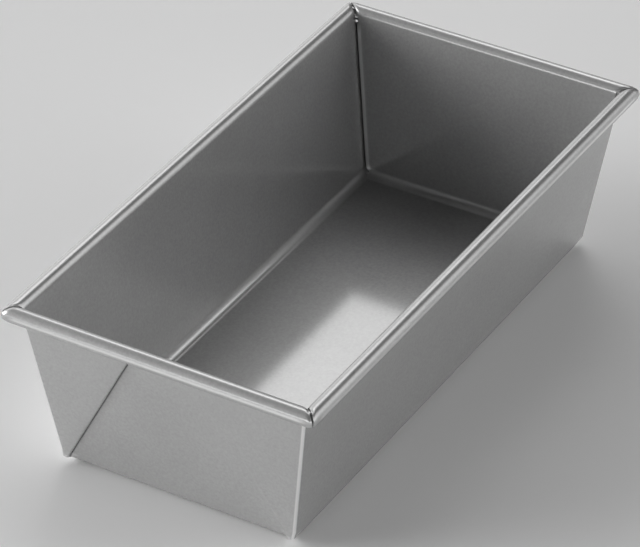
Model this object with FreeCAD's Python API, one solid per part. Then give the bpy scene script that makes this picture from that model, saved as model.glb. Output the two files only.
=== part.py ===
import FreeCAD, Part
import math
import os

# One-piece folded loaf pan. Millimetres, +Z up, +Y along the pan, the origin at the middle of the
# underside. Two pieces: the folded sheet, and the wire that its rim is rolled round.

# Driving sizes
RIM_LENGTH = 261.0  # between the axes of the two end beads
RIM_WIDTH = 133.4  # between the axes of the two side beads
RIM_HEIGHT = 72.7  # axis of the beads above the table
SIDE_DRAFT = 8.6  # lean of the long walls, degrees from upright
END_DRAFT = 7.4  # lean of the end walls
SHEET = 0.6  # thickness of the steel
BEAD_RADIUS = 3.5  # outside radius of the rolled rim
BEAD_END_ANGLE = -128.0  # where the rolled edge stops, degrees below straight outward
BEND_RADIUS = 4.0  # inside radius where the walls turn up from the bottom
CORNER_RADIUS = 0.8  # inside radius where a side wall wraps round onto an end wall
LAYER_GAP = 0.1  # air between two folded layers
HEM_SLIT = 0.5  # open slit inside, between an end wall's hem and the side wall
MITRE_GAP = 0.9  # opening between the bead ends at each corner
WIRE_DIAMETER = 5.0
WIRE_BEND = 3.0  # radius of the wire's axis at the corners
WIRE_SAG = 0.2  # the wire rests low in the rolled rim
WIRE_BUTT_GAP = 0.3  # between the two ends of the wire, in the middle of the far end
FOLD_TUCK = 0.2  # the corner folds reach this far above the lowest point of the bead

# Levels and margins
TRAY_TOP = 7.0  # below this the corners are drawn round, above it they are folded
FOLD_START = 5.0  # lowest point of the folded corner layers
APEX_TOP = 5.8  # below this the folded layers run together into solid metal
APEX_STEP = 0.02  # the solid metal lies this much inside the layers' outer face
FOLD_TOP = RIM_HEIGHT - BEAD_RADIUS + FOLD_TUCK  # the folds stop just under the bead
RUN_OUT = 0.3  # half-width of the small flat where the two bends and their corner run out
STRIP = 5.0  # width of side wall that belongs to the corner fold
TRAY_REACH = 5.0  # the drawn corners reach this far in from the bends
ZONE_SIZE = 20.0  # width and depth of the column of space that holds a drawn corner
OVERRUN = 10.0  # the folds' sections run this far past where they are trimmed
FAR = 400.0  # longer than anything on the pan

Vec = FreeCAD.Vector
ORIGIN = Vec(0, 0, 0)
UP = Vec(0, 0, 1)


def polar(centre, radius, degrees):
    """Point on a circle in a plane of (outward, up) pairs."""
    turn = math.radians(degrees)
    return (centre[0] + radius * math.cos(turn), centre[1] + radius * math.sin(turn))


def closed_face(edges):
    return Part.Face(Part.Wire(edges))


def joined(shapes):
    """Fuse a list of solids into one shape with its flush faces merged."""
    first, rest = shapes[0], shapes[1:]
    return first.multiFuse(rest).removeSplitter()


def half_space(point, normal):
    """A very large block on the far side of a plane, the side that its normal points to."""
    block = Part.makeBox(2 * FAR, 2 * FAR, FAR, Vec(-FAR, -FAR, 0))
    block.Placement = FreeCAD.Placement(point, FreeCAD.Rotation(UP, normal))
    return block


class Wall:
    """One wall's section, in (outward, up) pairs: bend, leaning wall and rolled rim."""

    def __init__(self, rim_reach, draft):
        self.draft = draft
        self.lean = math.radians(draft)
        self.bead = (rim_reach, RIM_HEIGHT)
        self.inward = 180.0 - draft  # direction of the wall's inner face, degrees
        outer_bend = BEND_RADIUS + SHEET
        rise = RIM_HEIGHT - outer_bend
        reach = (BEAD_RADIUS + BEND_RADIUS + rise * math.sin(self.lean)) / math.cos(self.lean)
        self.bend = (rim_reach - reach, outer_bend)

    def outer_foot(self):
        """Where the outer face would meet the table if it had no bend."""
        depth = BEAD_RADIUS - SHEET + RIM_HEIGHT * math.sin(self.lean)
        return self.bead[0] - depth / math.cos(self.lean)

    def face(self, place):
        """The section as a flat face; place turns a pair into a point in space."""
        def line(a, b):
            return Part.makeLine(place(a), place(b))

        def arc(centre, radius, start, end):
            angles = (start, (start + end) / 2, end)
            points = [place(polar(centre, radius, angle)) for angle in angles]
            return Part.Arc(*points).toShape()

        outer, inner = BEND_RADIUS + SHEET, BEND_RADIUS
        hollow = BEAD_RADIUS - SHEET
        foot_inner = (self.bend[0], SHEET)
        foot_outer = (self.bend[0], 0.0)
        edges = [
            line(foot_inner, foot_outer),
            arc(self.bend, outer, -90.0, -self.draft),
            line(polar(self.bend, outer, -self.draft), polar(self.bead, hollow, self.inward)),
            arc(self.bead, hollow, self.inward, BEAD_END_ANGLE),
            line(polar(self.bead, hollow, BEAD_END_ANGLE), polar(self.bead, BEAD_RADIUS, BEAD_END_ANGLE)),
            arc(self.bead, BEAD_RADIUS, BEAD_END_ANGLE, self.inward),
            line(polar(self.bead, BEAD_RADIUS, self.inward), polar(self.bend, inner, -self.draft)),
            arc(self.bend, inner, -self.draft, -90.0),
        ]
        return closed_face(edges)


SIDE = Wall(RIM_WIDTH / 2, SIDE_DRAFT)
END = Wall(RIM_LENGTH / 2, END_DRAFT)


class Corner:
    """Frame of the folded corner between the +X side wall and the -Y end wall."""

    def __init__(self):
        self.foot = Vec(SIDE.outer_foot(), -END.outer_foot(), 0)
        self.up = Vec(math.tan(SIDE.lean), -math.tan(END.lean), 1).normalize()
        self.end_out = Vec(0, -math.cos(END.lean), -math.sin(END.lean))
        self.side_out = Vec(math.cos(SIDE.lean), 0, -math.sin(SIDE.lean))
        self.along_end = self.up.cross(self.end_out).normalize()
        if self.along_end.x > 0:
            self.along_end = self.along_end * -1
        self.along_side = self.up.cross(self.side_out).normalize()
        if self.along_side.y < 0:
            self.along_side = self.along_side * -1
        bottom_end = Vec(-1, 0, 0)
        bottom_side = Vec(0, 1, 0)
        wall_corners = sum(self.up.getAngle(edge) for edge in (bottom_end, bottom_side))
        lean = (1.5 * math.pi - wall_corners) / 2  # from the corner edge to the diagonal fold
        self.diagonal = self.up * math.cos(lean) + self.along_end * math.sin(lean)
        self.off_diagonal = self.along_end * math.cos(lean) - self.up * math.sin(lean)

    def point(self, along_end, out):
        """Point level with the foot, from distances along the end wall and out of it."""
        return self.foot + self.along_end * along_end + self.end_out * out


CORNER = Corner()


def column(face):
    """A section drawn across the corner edge, run up the whole corner and past its ends."""
    face.translate(CORNER.up * -OVERRUN)
    return face.extrude(CORNER.up * (FOLD_TOP + 2 * OVERRUN))


def ring_section(centre, across, out, inner, outer):
    """Half a ring on the side that across points away from, opening along it."""
    def arc(radius):
        return Part.Arc(centre + out * radius, centre - across * radius, centre - out * radius).toShape()

    caps = [
        Part.makeLine(centre + out * inner, centre + out * outer),
        Part.makeLine(centre - out * inner, centre - out * outer),
    ]
    return Part.Face(Part.Wire(Part.__sortEdges__([arc(inner), arc(outer)] + caps)))


def is_corner_edge(edge):
    """True for the upright edges and for the curved edges that carry them under the bend."""
    heights = sorted(v.Z for v in edge.Vertexes)
    return heights[-1] - heights[0] > SHEET and heights[0] < TRAY_TOP


def tapered_block(side_out, end_out, bottom, bend, corner):
    """A solid block on the walls' planes, each pushed out by its own amount, with rounded edges."""
    def ring(level):
        x = SIDE.outer_foot() + level * math.tan(SIDE.lean) + side_out / math.cos(SIDE.lean)
        y = END.outer_foot() + level * math.tan(END.lean) + end_out / math.cos(END.lean)
        points = [Vec(x, -y, level), Vec(x, y, level), Vec(-x, y, level), Vec(-x, -y, level)]
        return Part.makePolygon(points + points[:1])

    block = Part.makeLoft([ring(bottom), ring(RIM_HEIGHT)], True)
    low = [e for e in block.Edges if max(v.Z for v in e.Vertexes) < bottom + SHEET / 2]
    block = block.makeFillet(bend, low)
    return block.makeFillet(corner, [e for e in block.Edges if is_corner_edge(e)])


def corner_zone():
    """The column of space that holds the drawn corner between +X and -Y."""
    low = Vec(SIDE.bend[0] - TRAY_REACH, -END.bend[0] + TRAY_REACH - ZONE_SIZE, -ZONE_SIZE)
    return Part.makeBox(ZONE_SIZE, ZONE_SIZE, ZONE_SIZE + TRAY_TOP, low)


def drawn_corner():
    """The bottom corner, where the metal is drawn round, with the apex of the fold on it."""
    outer_bend, outer_corner = BEND_RADIUS + SHEET, CORNER_RADIUS + SHEET
    outer = tapered_block(0, 0, 0, outer_bend, outer_corner)
    inner = tapered_block(-SHEET, -SHEET, SHEET, BEND_RADIUS, CORNER_RADIUS)
    pad = LAYER_GAP * 2 + SHEET * 2
    apex = tapered_block(-APEX_STEP, pad - APEX_STEP, APEX_STEP, outer_bend, outer_corner)
    apex = apex.cut(half_space(CORNER.foot, CORNER.off_diagonal))
    apex = apex.cut(half_space(Vec(0, 0, APEX_TOP), UP))
    zone = corner_zone()
    low = Vec(SIDE.bend[0] - RUN_OUT, -END.bend[0] - RUN_OUT, 0)
    run_out = Part.makeBox(2 * RUN_OUT, 2 * RUN_OUT, SHEET + APEX_STEP, low)
    return outer.common(zone).fuse(apex.common(zone)).cut(inner).fuse(run_out)


def bottom():
    """The flat bottom, as far as the bends and the drawn corners."""
    x, y = SIDE.bend[0], END.bend[0]
    long_plate = Part.makeBox(2 * (x - TRAY_REACH), 2 * y, SHEET, Vec(TRAY_REACH - x, -y, 0))
    wide_plate = Part.makeBox(2 * x, 2 * (y - TRAY_REACH), SHEET, Vec(-x, TRAY_REACH - y, 0))
    return long_plate.fuse(wide_plate).removeSplitter()


def trimmed_end(wall, zone_face, strip_face, mitre_face):
    """Trim one end of a wall: at the drawn corner, at the fold, and at the bead's mitre.

    Each face is a point and the direction of what is taken away.
    """
    low_block = half_space(Vec(0, 0, TRAY_TOP), UP * -1)
    high_block = half_space(Vec(0, 0, FOLD_TOP), UP)
    low = wall.common(low_block).cut(half_space(*zone_face))
    middle = wall.cut(low_block).cut(high_block).cut(half_space(*strip_face))
    high = wall.common(high_block).cut(half_space(*mitre_face))
    return low.multiFuse([middle, high])


def mirrored_x(shape):
    return shape.mirror(ORIGIN, Vec(1, 0, 0))


def mirrored_y(shape):
    return shape.mirror(ORIGIN, Vec(0, 1, 0))


def hem_position():
    """Distance of the hem's axis from the corner edge, along the end wall."""
    return 2 * SHEET + HEM_SLIT + LAYER_GAP / 2


def mitre_face(back):
    """Plane of a bead's end, half the mitre gap back from the corner of the rim."""
    rim_corner = Vec(SIDE.bead[0], -END.bead[0], 0)
    return rim_corner - back * (MITRE_GAP / 2), back


def side_wall():
    """The +X wall with its rolled rim, cut back for the corner folds and mitres."""
    face = SIDE.face(lambda pair: Vec(pair[0], -FAR / 2, pair[1]))
    solid = face.extrude(Vec(0, FAR, 0)).common(half_space(ORIGIN, Vec(0, -1, 0)))
    zone = Vec(0, TRAY_REACH - END.bend[0], 0)
    strip = CORNER.foot + CORNER.along_side * STRIP
    half = trimmed_end(
        solid,
        (zone, Vec(0, -1, 0)),
        (strip, CORNER.along_side * -1),
        mitre_face(Vec(-1, -1, 0).normalize()),
    )
    return half.fuse(mirrored_y(half)).removeSplitter()


def end_wall():
    """The -Y wall with its rolled rim, cut back to the hems and mitres."""
    face = END.face(lambda pair: Vec(-FAR / 2, -pair[0], pair[1]))
    solid = face.extrude(Vec(FAR, 0, 0)).common(half_space(ORIGIN, Vec(1, 0, 0)))
    zone = Vec(SIDE.bend[0] - TRAY_REACH, 0, 0)
    half = trimmed_end(
        solid,
        (zone, Vec(1, 0, 0)),
        (CORNER.point(hem_position(), 0), CORNER.along_end * -1),
        mitre_face(Vec(1, 1, 0).normalize()),
    )
    return half.fuse(mirrored_x(half)).removeSplitter()


def wrapped_layer():
    """Edge strip of the side wall and the outer half of the gusset, round one bend."""
    near, far = LAYER_GAP * 2 + SHEET, LAYER_GAP * 2 + SHEET * 2
    side_along_end = CORNER.side_out.dot(CORNER.along_end)
    side_along_out = CORNER.side_out.dot(CORNER.end_out)
    centre_out = near - CORNER_RADIUS
    wanted = -SHEET - CORNER_RADIUS
    centre_along = (wanted - centre_out * side_along_out) / side_along_end
    centre = CORNER.point(centre_along, centre_out)
    middle = (CORNER.side_out + CORNER.end_out).normalize()

    def arc(radius):
        directions = (CORNER.side_out, middle, CORNER.end_out)
        return Part.Arc(*[centre + way * radius for way in directions]).toShape()

    def side_end(radius):
        start = centre + CORNER.side_out * radius
        run = STRIP - (start - CORNER.foot).dot(CORNER.along_side)
        return start + CORNER.along_side * run

    gusset_reach = CORNER.along_end * FOLD_TOP
    inner, outer = CORNER_RADIUS, CORNER_RADIUS + SHEET
    edges = [
        Part.makeLine(side_end(inner), side_end(outer)),
        Part.makeLine(side_end(outer), centre + CORNER.side_out * outer),
        arc(outer),
        Part.makeLine(centre + CORNER.end_out * outer, centre + CORNER.end_out * outer + gusset_reach),
        Part.makeLine(
            centre + CORNER.end_out * outer + gusset_reach,
            centre + CORNER.end_out * inner + gusset_reach,
        ),
        Part.makeLine(centre + CORNER.end_out * inner + gusset_reach, centre + CORNER.end_out * inner),
        arc(inner),
        Part.makeLine(centre + CORNER.side_out * inner, side_end(inner)),
    ]
    return column(closed_face(edges))


def hemmed_layer():
    """Hem of the end wall and the inner half of the gusset that it turns into."""
    axis = CORNER.point(hem_position(), LAYER_GAP / 2)
    inner, outer = LAYER_GAP / 2, LAYER_GAP / 2 + SHEET
    hem = ring_section(axis, CORNER.along_end, CORNER.end_out, inner, outer)
    start = axis + CORNER.end_out * inner
    across = CORNER.along_end * FOLD_TOP
    thick = CORNER.end_out * SHEET
    corners = [start, start + across, start + across + thick, start + thick]
    edges = [Part.makeLine(a, b) for a, b in zip(corners, corners[1:] + corners[:1])]
    return column(hem), column(closed_face(edges))


def diagonal_fold():
    """The 180 degree fold that joins the two halves of the gusset."""
    axis = CORNER.point(0, LAYER_GAP * 1.5 + SHEET)
    inner, outer = LAYER_GAP / 2, LAYER_GAP / 2 + SHEET
    section = ring_section(axis, CORNER.off_diagonal * -1, CORNER.end_out, inner, outer)
    return section.extrude(CORNER.diagonal * FAR / 2)


def corner_fold():
    """All folded layers of one corner, trimmed to the diagonal, the bead and the apex."""
    beyond_diagonal = half_space(CORNER.foot, CORNER.off_diagonal)
    hem, inner_gusset = hemmed_layer()
    layers = [
        wrapped_layer().cut(beyond_diagonal),
        inner_gusset.cut(beyond_diagonal),
        hem,
        diagonal_fold(),
    ]
    span = half_space(Vec(0, 0, FOLD_START), UP)
    span = span.common(half_space(Vec(0, 0, FOLD_TOP), UP * -1))
    return [layer.common(span) for layer in layers]


def folded_sheet():
    """The whole pan body: one sheet, folded at four corners and rolled over at the rim."""
    side, end = side_wall(), end_wall()
    shapes = [bottom(), side, mirrored_x(side), end, mirrored_y(end)]
    corner = joined([drawn_corner()] + corner_fold())
    across = mirrored_x(corner)
    shapes += [corner, across, mirrored_y(corner), mirrored_y(across)]
    return joined(shapes)


def rim_wire():
    """One round wire bent to the rim's rectangle, its ends butted at the far end."""
    half_x, half_y = SIDE.bead[0], END.bead[0]
    level = RIM_HEIGHT - WIRE_SAG
    radius = WIRE_DIAMETER / 2
    shapes = []

    def rod(start, end):
        way = end - start
        shapes.append(Part.makeCylinder(radius, way.Length, start, way))

    run_x, run_y = half_x - WIRE_BEND, half_y - WIRE_BEND
    for sign in (1, -1):
        rod(Vec(sign * half_x, -run_y, level), Vec(sign * half_x, run_y, level))
        rod(Vec(sign * WIRE_BUTT_GAP / 2, half_y, level), Vec(sign * run_x, half_y, level))
    rod(Vec(-run_x, -half_y, level), Vec(run_x, -half_y, level))
    for x, y, turn in ((1, 1, 0), (-1, 1, 90), (-1, -1, 180), (1, -1, 270)):
        bend = Part.makeTorus(WIRE_BEND, radius, ORIGIN, UP, 0, 360, 90)
        bend.rotate(ORIGIN, UP, turn)
        bend.translate(Vec(x * run_x, y * run_y, level))
        shapes.append(bend)
    return joined(shapes)


def write(name, shape):
    solids = shape.Solids
    if len(solids) != 1 or not solids[0].isValid():
        raise ValueError(name + " is not one valid solid: " + str(len(solids)))
    solids[0].exportStep(os.path.join("parts", name + ".step"))
    box = solids[0].BoundBox
    print(name, "volume", round(solids[0].Volume), "size", box.XLength, box.YLength, box.ZLength)


os.makedirs("parts", exist_ok=True)
write("folded_sheet", folded_sheet())
write("rim_wire", rim_wire())
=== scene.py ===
import math

import bmesh
import bpy
from mathutils import Matrix, Vector


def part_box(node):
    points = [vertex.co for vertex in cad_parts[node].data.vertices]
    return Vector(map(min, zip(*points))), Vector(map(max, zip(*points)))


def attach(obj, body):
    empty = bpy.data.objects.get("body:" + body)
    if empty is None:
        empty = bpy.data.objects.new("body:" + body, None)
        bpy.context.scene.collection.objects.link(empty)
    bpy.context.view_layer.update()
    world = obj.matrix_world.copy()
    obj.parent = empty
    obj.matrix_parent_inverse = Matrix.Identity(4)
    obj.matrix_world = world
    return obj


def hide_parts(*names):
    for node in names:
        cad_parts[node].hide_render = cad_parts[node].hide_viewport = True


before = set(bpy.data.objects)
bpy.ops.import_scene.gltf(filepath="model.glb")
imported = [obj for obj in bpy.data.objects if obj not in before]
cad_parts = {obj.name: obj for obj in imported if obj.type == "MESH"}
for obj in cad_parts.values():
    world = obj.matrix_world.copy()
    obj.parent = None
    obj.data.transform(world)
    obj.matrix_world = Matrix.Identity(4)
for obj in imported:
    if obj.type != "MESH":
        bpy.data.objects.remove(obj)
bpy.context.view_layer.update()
SHEET_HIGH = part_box("folded_sheet")[1]
WIRE_LOW, WIRE_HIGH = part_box("rim_wire")

MM = 0.001

# The sheet and how it is folded. Its overall size comes from the parts read from model.glb.
SHEET = 0.6 * MM
HALF = SHEET / 2
SIDE_DRAFT = math.radians(8.6)
END_DRAFT = math.radians(7.4)
BEAD_RADIUS = 3.5 * MM
BEAD_END_ANGLE = math.radians(-128)
BEND_RADIUS = 4.0 * MM
CORNER_RADIUS = 0.8 * MM
LAYER_GAP = 0.1 * MM
HEM_SLIT = 0.5 * MM
FOLD_RADIUS = LAYER_GAP / 2 + HALF
OPEN_FOLD_RADIUS = 0.5 * MM
MITRE_GAP = 0.9 * MM
PINCH = 0.3 * MM
PINCH_LENGTH = 1.6 * MM

RIM_X = SHEET_HIGH.x - BEAD_RADIUS
RIM_Y = SHEET_HIGH.y - BEAD_RADIUS
RIM_Z = SHEET_HIGH.z - BEAD_RADIUS

# Levels where the corner folds start, are fully closed, run straight, and stop below the bead
FOLD_START = 0.5 * MM
FOLD_CLOSED = 4.2 * MM
FOLD_STRAIGHT = 6.5 * MM
FOLD_TOP = RIM_Z - BEAD_RADIUS + 0.2 * MM

# Where the coating is worn, from 0 to 1
CORNER_WEAR = 0.1, 0.4  # how far a corner's normal has turned where wear starts and is full
RIDGE_ANGLE, RIDGE_REACH, RIDGE_FADE = 2.0, 18.0, 5.0 * MM  # degrees round the bead, fade at its ends
BEND_WEAR = 0.4
HEM_MIDDLE, HEM_REACH, HEM_WEAR = 2.1 * MM, 1.5 * MM, 0.8  # measured from the corner
SKIN = 0.05 * MM  # a vertex this near the bead's outside is on it

# Painted shade: the dark line painted on the end walls beside each gusset's fold, standing in for the
# shadow in the narrow gap at the fold's step: how far its middle is from the diagonal, how far from the
# middle it is full and where it ends, and its tone
PAINTED_SHADE_OFF, PAINTED_SHADE_FULL, PAINTED_SHADE_END = 0.75 * MM, 0.2 * MM, 0.5 * MM
PAINTED_SHADE_TONE = 0.03

# Steel and its glaze
PAN_TONE, PAN_ROUGHNESS = 0.44, 0.5
WIRE_TONE, WIRE_ROUGHNESS = 0.5, 0.4
METAL_SHARE = 0.5
WORN_ROUGHNESS = 0.3
GLAZE_IOR, GLAZE_ROUGHNESS = 2.5, 0.12
CLOUD_SCALE, SPECK_SCALE = 22.0, 900.0
GRAIN_SCALE = 1800.0, 160.0, 1800.0  # drawn out along the pan's length
CLOUD_TONE, SPECK_TONE, GRAIN_ROUGHNESS = 0.05, 0.09, 0.06  # how much each varies
GRAIN_DEPTH, SPECK_DEPTH = 0.02 * MM, 0.04 * MM

# The floor is just below the pan's underside, which is at zero
FLOOR_LEVEL, FLOOR_REACH, FLOOR_TONE = -0.3 * MM, 6.0, 0.94

# Soft studio light from all round. Each row is a softbox: azimuth (clockwise from the far end, seen
# from above), elevation, how far from its middle it is full and where it ends, and its strength.
SOFTBOXES = (
    (244, 13, 0, 31, 6.0),
    (280, 0, 0, 72, 1.3),
    (331, 43, 9, 14, 1.85),
    (338, 58, 0, 20, 1.6),
    (62, 24, 0, 38, 1.7),
    (190, 0, 0, 23, 3.0),
)

# The camera, turned to the right of the near end, and the point it aims at
CAMERA_AZIMUTH, CAMERA_ELEVATION = math.radians(30.45), math.radians(34.76)
CAMERA_DISTANCE = 1720 * MM
AIM_HEIGHT, AIM_ACROSS, AIM_ABOVE = 30 * MM, -5.0 * MM, 5.7 * MM
SENSOR_WIDTH = 36
FOCAL_PIXELS, IMAGE_PIXELS = 4242, 640

# How finely the mesh is divided
SIDE_STEPS, END_STEPS = 34, 17
EDGE_STEPS = (2.4 * MM, 1.6 * MM, 1.0 * MM, 0.6 * MM, 0.25 * MM)
WRAP_STEPS, GUSSET_STEPS, FOLD_STEPS = 10, 8, 10
STRIP_STEPS = WRAP_STEPS + 2 * GUSSET_STEPS + 2 * FOLD_STEPS
SHORTEST = 0.25 * MM
STEEPEST = 0.95
WELD, MIRROR_WELD = 0.002 * MM, 0.02 * MM
ROW_CROWDING = 0.8  # rows of the walls are closer together near the bottom
FLOOR_STEPS, BEND_STEPS, WALL_STEPS, RIM_STEPS, CURL_STEPS = 14, 22, 28, 4, 64
SETTLE_STEPS = RIM_STEPS + CURL_STEPS / 5  # rows over which a wall's end eases to its mitre
PINCH_ONSET = 0.2  # share of the bead over which its end closes in
SHARP_ANGLE = math.radians(35)


def smoothstep(t):
    t = min(max(t, 0.0), 1.0)
    return t * t * (3 - 2 * t)


class Wall:
    """One wall's middle surface, as (outward, up) pairs."""

    def __init__(self, reach, draft):
        self.draft = draft
        self.reach = reach
        centre_up = BEND_RADIUS + SHEET
        rise = RIM_Z - centre_up
        run = (BEAD_RADIUS + BEND_RADIUS + rise * math.sin(draft)) / math.cos(draft)
        self.bend = (reach - run, centre_up)
        self.foot = reach - (BEAD_RADIUS - SHEET + RIM_Z * math.sin(draft)) / math.cos(draft)

    def at(self, level):
        """Middle surface of the straight wall at a level."""
        return self.foot + level * math.tan(self.draft) - HALF / math.cos(self.draft)

    def bend_point(self, share):
        """Round the bend, from the floor (0) to the wall (1)."""
        angle = -math.pi / 2 + share * (math.pi / 2 - self.draft)
        radius = BEND_RADIUS + HALF
        return self.bend[0] + radius * math.cos(angle), self.bend[1] + radius * math.sin(angle)

    def curl_point(self, share, pinch=0.0):
        """Round the bead, from the wall (0) to the rolled edge (1)."""
        start = math.pi - self.draft
        angle = start + share * (BEAD_END_ANGLE - start)
        radius = BEAD_RADIUS - HALF - pinch
        return self.reach + radius * math.cos(angle), RIM_Z + radius * math.sin(angle)


SIDE = Wall(RIM_X, SIDE_DRAFT)
END = Wall(RIM_Y, END_DRAFT)


class Corner:
    """The folded corner between the +X side and the -Y end, with its generator lines."""

    def __init__(self):
        self.foot = Vector((SIDE.foot, -END.foot, 0))
        self.up = Vector((math.tan(SIDE_DRAFT), -math.tan(END_DRAFT), 1)).normalized()
        self.end_out = Vector((0, -math.cos(END_DRAFT), -math.sin(END_DRAFT)))
        self.side_out = Vector((math.cos(SIDE_DRAFT), 0, -math.sin(SIDE_DRAFT)))
        self.along_end = self.end_out.cross(self.up).normalized()
        if self.along_end.x > 0:
            self.along_end.negate()
        bottom_edges = (Vector((-1, 0, 0)), Vector((0, 1, 0)))
        lean = (1.5 * math.pi - sum(self.up.angle(edge) for edge in bottom_edges)) / 2
        self.diagonal = self.up * math.cos(lean) + self.along_end * math.sin(lean)
        self.off_diagonal = self.along_end * math.cos(lean) - self.up * math.sin(lean)

    def place(self, along_end, out):
        return self.foot + self.along_end * along_end + self.end_out * out

    @staticmethod
    def cut(base, way, level):
        """Where a line through base along way meets a level."""
        return base + way * ((level - base.z) / way.z)

    def wrap(self, share, level):
        """The side wall's turn on to the end wall's outside."""
        centre_out = 2 * LAYER_GAP + SHEET - CORNER_RADIUS
        along = self.side_out.dot(self.along_end)
        out = self.side_out.dot(self.end_out)
        centre_along = (-SHEET - CORNER_RADIUS - centre_out * out) / along
        turn = self.side_out.angle(self.end_out) * share
        across = (self.end_out - self.side_out * out).normalized()
        way = self.side_out * math.cos(turn) + across * math.sin(turn)
        base = self.place(centre_along, centre_out) + way * (CORNER_RADIUS + HALF)
        return self.cut(base, self.up, level)

    def diagonal_fold(self, share, level):
        """Half a turn round the diagonal, from the gusset's outer half to its inner half."""
        turn = math.pi * share
        way = self.end_out * math.cos(turn) + self.off_diagonal * math.sin(turn)
        base = self.place(0, 1.5 * LAYER_GAP + SHEET) + way * FOLD_RADIUS
        return self.cut(base, self.diagonal, level)

    def hem(self, share, level):
        """Half a turn at the end wall's edge, from the gusset's inner half to the wall."""
        turn = math.pi * share
        way = self.end_out * math.cos(turn) - self.along_end * math.sin(turn)
        hem_along = 2 * SHEET + HEM_SLIT + LAYER_GAP / 2
        base = self.place(hem_along, LAYER_GAP / 2) + way * FOLD_RADIUS
        return self.cut(base, self.up, level)

    def folded(self, level):
        """The closed folds at one level, from the side wall to the end wall."""
        points = [self.wrap(i / WRAP_STEPS, level) for i in range(WRAP_STEPS + 1)]
        for fold in (self.diagonal_fold, self.hem):
            start, end = points[-1], fold(0, level)
            points += [start.lerp(end, i / GUSSET_STEPS) for i in range(1, GUSSET_STEPS)]
            points += [fold(i / FOLD_STEPS, level) for i in range(FOLD_STEPS + 1)]
        return points

    def opening(self, side_at, end_at, level):
        """The folds where they start, turned only in part and with short halves."""
        turn = math.pi * smoothstep((level - FOLD_START) / (FOLD_CLOSED - FOLD_START))
        fold = self.diagonal_fold(0, level)
        outer_half = max(self.wrap(1, level).x - fold.x, SHORTEST)
        inner_half = max(self.hem(0, level).x - fold.x, SHORTEST)
        tilt = min(max((SIDE.bend[1] - level) / (BEND_RADIUS + HALF), 0), STEEPEST)
        fold_length = max(OPEN_FOLD_RADIUS * turn / math.sqrt(1 - tilt ** 2), SHORTEST)
        pieces = (
            (WRAP_STEPS, (CORNER_RADIUS + HALF) * math.pi / 2, -math.pi / 2),
            (GUSSET_STEPS, outer_half, 0),
            (FOLD_STEPS, fold_length, -turn),
            (GUSSET_STEPS, inner_half, 0),
            (FOLD_STEPS, fold_length, turn),
        )
        heading = -math.pi / 2
        points = [Vector((side_at, 0, level))]
        for steps, length, bend in pieces:
            for _ in range(steps):
                middle = heading + bend / steps / 2
                step = Vector((math.cos(middle), math.sin(middle), 0)) * (length / steps)
                points.append(points[-1] + step)
                heading += bend / steps
        shift = Vector((0, -end_at - points[-1].y, 0))
        return [point + shift for point in points]

    def strip(self, side_at, end_at, level):
        """The corner strip at any level: opening folds low down, closed folds above."""
        blend = smoothstep((level - FOLD_CLOSED) / (FOLD_STRAIGHT - FOLD_CLOSED))
        if blend == 1:
            return self.folded(level)
        low = self.opening(side_at, end_at, level)
        if blend == 0:
            return low
        return [a.lerp(b, blend) for a, b in zip(low, self.folded(level))]


CORNER = Corner()

# Where the folds of a corner meet, and how thin the sheet is drawn there
APEX = Vector((SIDE.foot - 0.4 * MM, END.foot + 0.2 * MM, 2.6 * MM))
APEX_THIN = 2.0 * MM
APEX_SHARE = 0.45


def wall_columns(length, steps):
    """Distances along a wall from its middle to its end, closer together near the end."""
    even = length - EDGE_STEPS[0]
    return [even * i / steps for i in range(steps + 1)] + [length - d for d in EDGE_STEPS[1:]] + [length]


def ring(strip, side_at, end_at, level):
    """One row of a quarter of the pan: side wall, corner strip, end wall."""
    first, last = strip[0], strip[-1]
    side = [Vector((side_at, -along, level)) for along in wall_columns(-first.y, SIDE_STEPS)]
    end = [Vector((along, -end_at, level)) for along in wall_columns(last.x, END_STEPS)]
    return side[:-1] + strip + end[-2::-1]


def body_rows():
    """Rows of the quarter, from the middle of the bottom up to where the folds stop."""
    rows = []
    side_floor, end_floor = SIDE.bend[0], END.bend[0]
    for i in range(FLOOR_STEPS, 0, -1):
        inset = side_floor * i / FLOOR_STEPS
        side_at, end_at = side_floor - inset, end_floor - inset
        strip = [Vector((side_at, -end_at, HALF))] * (STRIP_STEPS + 1)
        side = [Vector((side_at, -end_at * k / SIDE_STEPS, HALF)) for k in range(SIDE_STEPS)]
        side += [strip[0]] * len(EDGE_STEPS)
        end = [Vector((side_at * k / END_STEPS, -end_at, HALF)) for k in range(END_STEPS)]
        end += [strip[0]] * len(EDGE_STEPS)
        rows.append(side + strip + end[::-1])
    for i in range(BEND_STEPS + 1):
        side_at, side_level = SIDE.bend_point(i / BEND_STEPS)
        end_at, end_level = END.bend_point(i / BEND_STEPS)
        level = (side_level + end_level) / 2
        rows.append(ring(CORNER.strip(side_at, end_at, level), side_at, end_at, level))
    start = rows[-1][0].z
    for i in range(1, WALL_STEPS + 1):
        share = i / WALL_STEPS
        rise = (1 - ROW_CROWDING) * share + ROW_CROWDING * share ** 2
        level = start + (FOLD_TOP - start) * rise
        side_at, end_at = SIDE.at(level), END.at(level)
        rows.append(ring(CORNER.strip(side_at, end_at, level), side_at, end_at, level))
    return rows


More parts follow.
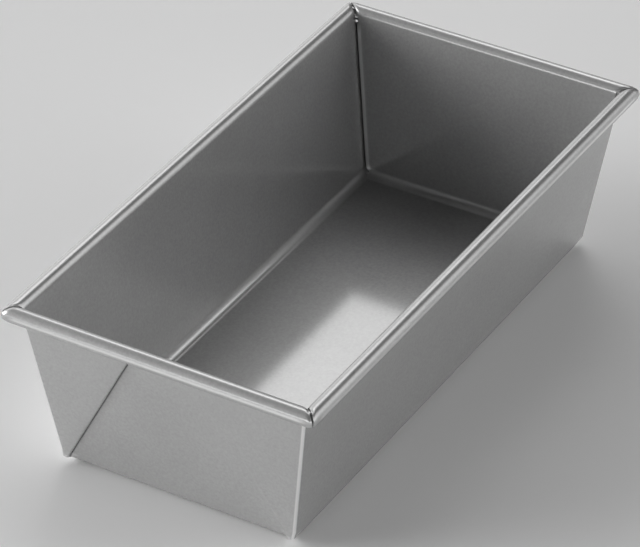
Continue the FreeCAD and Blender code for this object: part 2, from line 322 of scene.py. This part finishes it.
def rim_rows(wall, other, body_end, steps, put):
    """Rows of one wall above the folds: the last of the wall, then the bead, up to its mitre."""
    top = wall.curl_point(0)
    start = wall.at(FOLD_TOP), FOLD_TOP
    rows = []
    for i in range(1, RIM_STEPS + CURL_STEPS + 1):
        curl = max(i - RIM_STEPS, 0) / CURL_STEPS
        rise = min(i / RIM_STEPS, 1)
        outward, level = wall.curl_point(curl)
        if rise < 1:
            outward = start[0] + (top[0] - start[0]) * rise
            level = start[1] + (top[1] - start[1]) * rise
        mitre_end = other.reach + (outward - wall.reach) - MITRE_GAP * math.sqrt(0.5)
        settle = smoothstep(i / SETTLE_STEPS)
        length = body_end + (mitre_end - body_end) * settle
        row = []
        for along in wall_columns(length, steps):
            near_end = 1 - smoothstep((length - along) / PINCH_LENGTH)
            pinch = PINCH * near_end * smoothstep(curl / PINCH_ONSET)
            out, up = wall.curl_point(curl, pinch) if rise == 1 else (outward, level)
            row.append(put(out, along, up))
        rows.append(row)
    return rows


def add_grid(mesh, rows, first_row=None):
    """Quads between rows of points; first_row holds vertices that are already there."""
    previous = first_row
    for row in rows:
        verts = [mesh.verts.new(point) for point in row]
        if previous:
            for i in range(len(verts) - 1):
                mesh.faces.new((previous[i], previous[i + 1], verts[i + 1], verts[i]))
        previous = verts
    return previous


def mirror_quarter(mesh):
    """Complete the pan from its quarter, across X and then across Y."""
    for axis in ("X", "Y"):
        bmesh.ops.mirror(
            mesh,
            geom=mesh.verts[:] + mesh.edges[:] + mesh.faces[:],
            axis=axis,
            merge_dist=MIRROR_WELD,
            matrix=Matrix.Identity(4),
        )


def finished_object(name, mesh):
    """Turn a bmesh into a smooth-shaded object whose real edges stay sharp."""
    bmesh.ops.recalc_face_normals(mesh, faces=mesh.faces[:])
    for face in mesh.faces:
        face.smooth = True
    for edge in mesh.edges:
        if len(edge.link_faces) == 2 and edge.calc_face_angle() > SHARP_ANGLE:
            edge.smooth = False
    data = bpy.data.meshes.new(name)
    mesh.to_mesh(data)
    mesh.free()
    piece = bpy.data.objects.new(name, data)
    bpy.context.scene.collection.objects.link(piece)
    return piece


def thicken(piece):
    """Give a middle surface the sheet's thickness, drawn thin where the folds meet."""
    group = piece.vertex_groups.new(name="full")
    for vertex in piece.data.vertices:
        away = (Vector(map(abs, vertex.co)) - APEX).length
        share = smoothstep((away - APEX_THIN) / APEX_THIN)
        group.add([vertex.index], APEX_SHARE + (1 - APEX_SHARE) * share, "REPLACE")
    solid = piece.modifiers.new("sheet", "SOLIDIFY")
    solid.thickness = SHEET
    solid.offset = 0
    solid.use_even_offset = True
    solid.vertex_group = group.name
    apply_modifiers(piece)


def corner_wear(place, way):
    """Wear on the corner edges outside, and on the end wall's hem inside."""
    end_out = Vector((0, math.cos(END_DRAFT), -math.sin(END_DRAFT)))
    turned = min(CORNER.side_out.dot(way), end_out.dot(way))
    start, full = CORNER_WEAR
    worn = smoothstep((turned - start) / (full - start))
    from_side = SIDE.foot + place.z * math.tan(SIDE_DRAFT) - place.x
    from_end = END.foot + place.z * math.tan(END_DRAFT) - place.y
    if HALF < from_end < 2 * SHEET:
        worn = max(worn, HEM_WEAR * smoothstep(2 - 2 * abs(from_side - HEM_MIDDLE) / HEM_REACH))
    return worn


def ridge_wear(outward, up, to_end):
    """Wear on the outermost ridge of a bead, fading out before the mitre."""
    if abs(math.hypot(outward, up) - BEAD_RADIUS) >= SKIN:
        return 0.0
    off = abs(math.degrees(math.atan2(up, outward)) - RIDGE_ANGLE)
    return smoothstep(1 - off / RIDGE_REACH) * smoothstep(to_end / RIDGE_FADE)


def bend_wear(wall, outward, level):
    """Wear on the inside of the bend between the bottom and a wall."""
    out, down = outward - wall.bend[0], wall.bend[1] - level
    if out <= 0 or down <= 0 or math.hypot(out, down) >= BEND_RADIUS + HALF:
        return 0.0
    middle = 1 - abs(1 - 4 * math.atan2(out, down) / math.pi)
    return BEND_WEAR * smoothstep(2 * middle)


def mark_wear(piece):
    """Keep on each vertex how far the coating is rubbed bright."""
    wear = piece.data.attributes.new("wear", "FLOAT", "POINT")
    normals = piece.data.vertex_normals
    for vertex in piece.data.vertices:
        co, way = vertex.co, normals[vertex.index].vector
        place = Vector(map(abs, co))
        away = Vector((math.copysign(way.x, way.x * co.x), math.copysign(way.y, way.y * co.y), way.z))
        up = place.z - RIM_Z
        wear.data[vertex.index].value = max(
            corner_wear(place, away) if place.z < FOLD_TOP else 0.0,
            ridge_wear(place.x - RIM_X, up, RIM_Y - place.y),
            ridge_wear(place.y - RIM_Y, up, RIM_X - place.x),
            bend_wear(SIDE, place.x, place.z),
            bend_wear(END, place.y, place.z),
        )


def apply_modifiers(piece):
    graph = bpy.context.evaluated_depsgraph_get()
    data = bpy.data.meshes.new_from_object(piece.evaluated_get(graph))
    piece.modifiers.clear()
    old = piece.data
    piece.data = data
    bpy.data.meshes.remove(old)


def make_sheet():
    """The folded sheet as one continuous surface: floor, walls, gussets and rolled rims."""
    mesh = bmesh.new()
    last = add_grid(mesh, body_rows())
    side_verts = last[: SIDE_STEPS + len(EDGE_STEPS) + 1]
    end_verts = last[-(END_STEPS + len(EDGE_STEPS) + 1):][::-1]
    side_end, end_end = -side_verts[-1].co.y, end_verts[-1].co.x
    side_rows = rim_rows(SIDE, END, side_end, SIDE_STEPS, lambda u, v, z: Vector((u, -v, z)))
    end_rows = rim_rows(END, SIDE, end_end, END_STEPS, lambda u, v, z: Vector((v, -u, z)))
    add_grid(mesh, side_rows, side_verts)
    add_grid(mesh, end_rows, end_verts)
    bmesh.ops.remove_doubles(mesh, verts=mesh.verts[:], dist=WELD)
    mirror_quarter(mesh)
    piece = finished_object("sheet_middle", mesh)
    thicken(piece)
    solid = bmesh.new()
    solid.from_mesh(piece.data)
    bpy.data.objects.remove(piece)
    sheet = finished_object("pan_sheet", solid)
    mark_wear(sheet)
    return sheet


def make_wire():
    """The rim wire: a round bar round the rim's rectangle, with tight bends and a butt joint."""
    radius = (WIRE_HIGH.z - WIRE_LOW.z) / 2
    level = (WIRE_HIGH.z + WIRE_LOW.z) / 2
    half_x, half_y = WIRE_HIGH.x - radius, WIRE_HIGH.y - radius
    bend, butt = 3.0 * MM, 0.15 * MM
    bend_steps, round_steps = 12, 32
    path = [(Vector((butt, half_y, level)), Vector((1, 0, 0)))]
    for quarter, (x, y) in enumerate(((1, 1), (1, -1), (-1, -1), (-1, 1))):
        centre = Vector((x * (half_x - bend), y * (half_y - bend), level))
        for i in range(bend_steps + 1):
            angle = math.pi / 2 * (1 - quarter - i / bend_steps)
            out = Vector((math.cos(angle), math.sin(angle), 0))
            path.append((centre + out * bend, Vector((out.y, -out.x, 0))))
    path.append((Vector((-butt, half_y, level)), Vector((1, 0, 0))))
    mesh = bmesh.new()
    rings = []
    for point, way in path:
        side = way.cross(Vector((0, 0, 1)))
        verts = []
        for j in range(round_steps):
            turn = 2 * math.pi * j / round_steps
            offset = side * math.cos(turn) + Vector((0, 0, 1)) * math.sin(turn)
            verts.append(mesh.verts.new(point + offset * radius))
        rings.append(verts)
    for a, b in zip(rings, rings[1:]):
        for j in range(round_steps):
            k = (j + 1) % round_steps
            mesh.faces.new((a[j], a[k], b[k], b[j]))
    mesh.faces.new(rings[0])
    mesh.faces.new(rings[-1][::-1])
    return finished_object("wire_round", mesh)


class Nodes:
    """A small helper for writing node materials in few lines."""

    def __init__(self, tree):
        self.tree = tree

    def add(self, kind, values=None, **settings):
        node = self.tree.nodes.new(kind)
        for name, value in settings.items():
            setattr(node, name, value)
        for name, value in (values or {}).items():
            if isinstance(value, bpy.types.NodeSocket):
                self.tree.links.new(value, node.inputs[name])
            else:
                node.inputs[name].default_value = value
        return node


def painted_fold_shade_mask(nodes, place):
    """1 in the painted shade beside each gusset's fold, the dark line on the end walls where the shadow of
    the narrow gap at the fold's step falls, and 0 away from it.
    """
    mirrored = nodes.add("ShaderNodeVectorMath", {0: place}, operation="ABSOLUTE").outputs[0]
    level = nodes.add("ShaderNodeSeparateXYZ", {0: place}).outputs["Z"]
    mask = nodes.add("ShaderNodeMath", {0: level, 1: FOLD_TOP}, operation="LESS_THAN").outputs[0]
    for way, middle in ((CORNER.off_diagonal, PAINTED_SHADE_OFF), (CORNER.end_out, 0.0)):
        values = {0: mirrored, 1: (way.x, -way.y, way.z)}
        along = nodes.add("ShaderNodeVectorMath", values, operation="DOT_PRODUCT")
        values = {0: along.outputs["Value"], 1: CORNER.foot.dot(way) + middle}
        past = nodes.add("ShaderNodeMath", values, operation="SUBTRACT")
        away = nodes.add("ShaderNodeMath", {0: past.outputs[0]}, operation="ABSOLUTE")
        values = {"Value": away.outputs[0], "From Min": PAINTED_SHADE_END, "From Max": PAINTED_SHADE_FULL}
        near = nodes.add("ShaderNodeMapRange", values, interpolation_type="SMOOTHSTEP")
        values = {0: near.outputs["Result"], 1: mask}
        mask = nodes.add("ShaderNodeMath", values, operation="MULTIPLY").outputs[0]
    return mask


def spread(nodes, value, low, high):
    """Map the middle of a noise's range on to low to high."""
    limits = {"Value": value, "From Min": 0.3, "From Max": 0.7, "To Min": low, "To Max": high}
    return nodes.add("ShaderNodeMapRange", limits).outputs["Result"]


def steel_material(name, tone, roughness):
    """Steel under a thin satin glaze: fine grain, faint clouds, bright worn edges, and a dark line of
    painted shade beside each gusset's fold.
    """
    material = bpy.data.materials.new(name)
    material.use_nodes = True
    tree = material.node_tree
    tree.nodes.clear()
    nodes = Nodes(tree)

    def noise(vector, scale, detail, rough=0.5):
        values = {"Vector": vector, "Scale": scale, "Detail": detail, "Roughness": rough}
        return nodes.add("ShaderNodeTexNoise", values).outputs["Fac"]

    def where_worn(fresh, worn):
        values = {"Value": wear, "To Min": fresh, "To Max": worn}
        return nodes.add("ShaderNodeMapRange", values).outputs["Result"]

    def bump(height, strength, depth, values):
        values = {"Height": height, "Strength": strength, "Distance": depth, **values}
        return nodes.add("ShaderNodeBump", values).outputs[0]

    place = nodes.add("ShaderNodeTexCoord").outputs["Object"]
    wear = nodes.add("ShaderNodeAttribute", attribute_name="wear").outputs["Fac"]
    drawn_out = nodes.add("ShaderNodeVectorMath", {0: place, 1: GRAIN_SCALE}, operation="MULTIPLY")
    cloud = noise(place, CLOUD_SCALE, 4.0, 0.55)
    speck = noise(place, SPECK_SCALE, 3.0, 0.6)
    grain = noise(drawn_out.outputs[0], 1.0, 2.0)
    cloud_tone = spread(nodes, cloud, tone * (1 - CLOUD_TONE), tone * (1 + CLOUD_TONE))
    speck_tone = spread(nodes, speck, 1 - SPECK_TONE, 1 + SPECK_TONE)
    clean_tone = nodes.add("ShaderNodeMath", {0: cloud_tone, 1: speck_tone}, operation="MULTIPLY")
    # Painted shade: the base colour drops to a dark tone in the line beside each gusset's fold, where the
    # gap at the fold's step is in shadow
    values = {"Value": painted_fold_shade_mask(nodes, place), "To Min": clean_tone.outputs[0], "To Max": PAINTED_SHADE_TONE}
    fresh_tone = nodes.add("ShaderNodeMapRange", values)
    fresh_rough = nodes.add(
        "ShaderNodeMapRange",
        {"Value": grain, "To Min": roughness - GRAIN_ROUGHNESS, "To Max": roughness + GRAIN_ROUGHNESS},
    )
    grain_bump = bump(grain, 0.25, GRAIN_DEPTH, {})
    shader = nodes.add(
        "ShaderNodeBsdfPrincipled",
        {
            "Base Color": where_worn(fresh_tone.outputs["Result"], 1.0),
            "Metallic": where_worn(METAL_SHARE, 1.0),
            "Roughness": where_worn(fresh_rough.outputs["Result"], WORN_ROUGHNESS),
            "Coat Weight": 1.0,
            "Coat IOR": GLAZE_IOR,
            "Coat Roughness": GLAZE_ROUGHNESS,
            "Normal": bump(speck, 0.3, SPECK_DEPTH, {"Normal": grain_bump}),
        },
    )
    nodes.add("ShaderNodeOutputMaterial", {"Surface": shader.outputs[0]})
    return material


def make_floor():
    mesh = bmesh.new()
    bmesh.ops.create_grid(mesh, x_segments=2, y_segments=2, size=FLOOR_REACH)
    floor = finished_object("floor", mesh)
    floor.location.z = FLOOR_LEVEL
    material = bpy.data.materials.new("floor_paper")
    material.use_nodes = True
    shader = material.node_tree.nodes["Principled BSDF"]
    shader.inputs["Base Color"].default_value = (FLOOR_TONE, FLOOR_TONE, FLOOR_TONE, 1)
    shader.inputs["Roughness"].default_value = 0.9
    shader.inputs["Specular IOR Level"].default_value = 0.1
    floor.data.materials.append(material)


def make_lights():
    """The softboxes, as soft round glows of the surroundings."""
    world = bpy.data.worlds.new("studio")
    bpy.context.scene.world = world
    world.use_nodes = True
    nodes = Nodes(world.node_tree)
    way = nodes.add("ShaderNodeTexCoord").outputs["Generated"]
    total = 0.0
    for azimuth, elevation, full, reach, strength in SOFTBOXES:
        turn, rise = math.radians(azimuth), math.radians(elevation)
        centre = (math.sin(turn) * math.cos(rise), math.cos(turn) * math.cos(rise), math.sin(rise))
        facing = nodes.add("ShaderNodeVectorMath", {0: way, 1: centre}, operation="DOT_PRODUCT")
        glow = nodes.add(
            "ShaderNodeMapRange",
            {
                "Value": facing.outputs["Value"],
                "From Min": math.cos(math.radians(reach)),
                "From Max": math.cos(math.radians(full)),
                "To Max": strength,
            },
            interpolation_type="SMOOTHSTEP",
        )
        total = nodes.add("ShaderNodeMath", {0: glow.outputs["Result"], 1: total}).outputs[0]
    background = world.node_tree.nodes["Background"]
    background.inputs["Color"].default_value = (1, 1, 1, 1)
    world.node_tree.links.new(total, background.inputs["Strength"])


def make_camera():
    """A long lens from the front right, above the near end."""
    back = Vector((
        math.sin(CAMERA_AZIMUTH) * math.cos(CAMERA_ELEVATION),
        -math.cos(CAMERA_AZIMUTH) * math.cos(CAMERA_ELEVATION),
        math.sin(CAMERA_ELEVATION),
    ))
    right = Vector((math.cos(CAMERA_AZIMUTH), math.sin(CAMERA_AZIMUTH), 0))
    up = back.cross(right)
    data = bpy.data.cameras.new("camera")
    data.sensor_width = SENSOR_WIDTH
    data.lens = SENSOR_WIDTH * FOCAL_PIXELS / IMAGE_PIXELS
    camera = bpy.data.objects.new("camera", data)
    target = Vector((0, 0, AIM_HEIGHT)) + right * AIM_ACROSS + up * AIM_ABOVE
    camera.location = target + back * CAMERA_DISTANCE
    camera.rotation_euler = back.to_track_quat("Z", "Y").to_euler()
    bpy.context.scene.collection.objects.link(camera)
    bpy.context.scene.camera = camera


sheet = make_sheet()
wire = make_wire()
sheet.data.materials.append(steel_material("satin_coated_steel", PAN_TONE, PAN_ROUGHNESS))
wire.data.materials.append(steel_material("drawn_wire_steel", WIRE_TONE, WIRE_ROUGHNESS))
for piece, node, slot in ((sheet, "folded_sheet", "pan_steel"), (wire, "rim_wire", "wire_steel")):
    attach(piece, "root")
    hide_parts(node)

make_floor()
make_lights()
make_camera()
bpy.context.scene.view_settings.view_transform = "Standard"
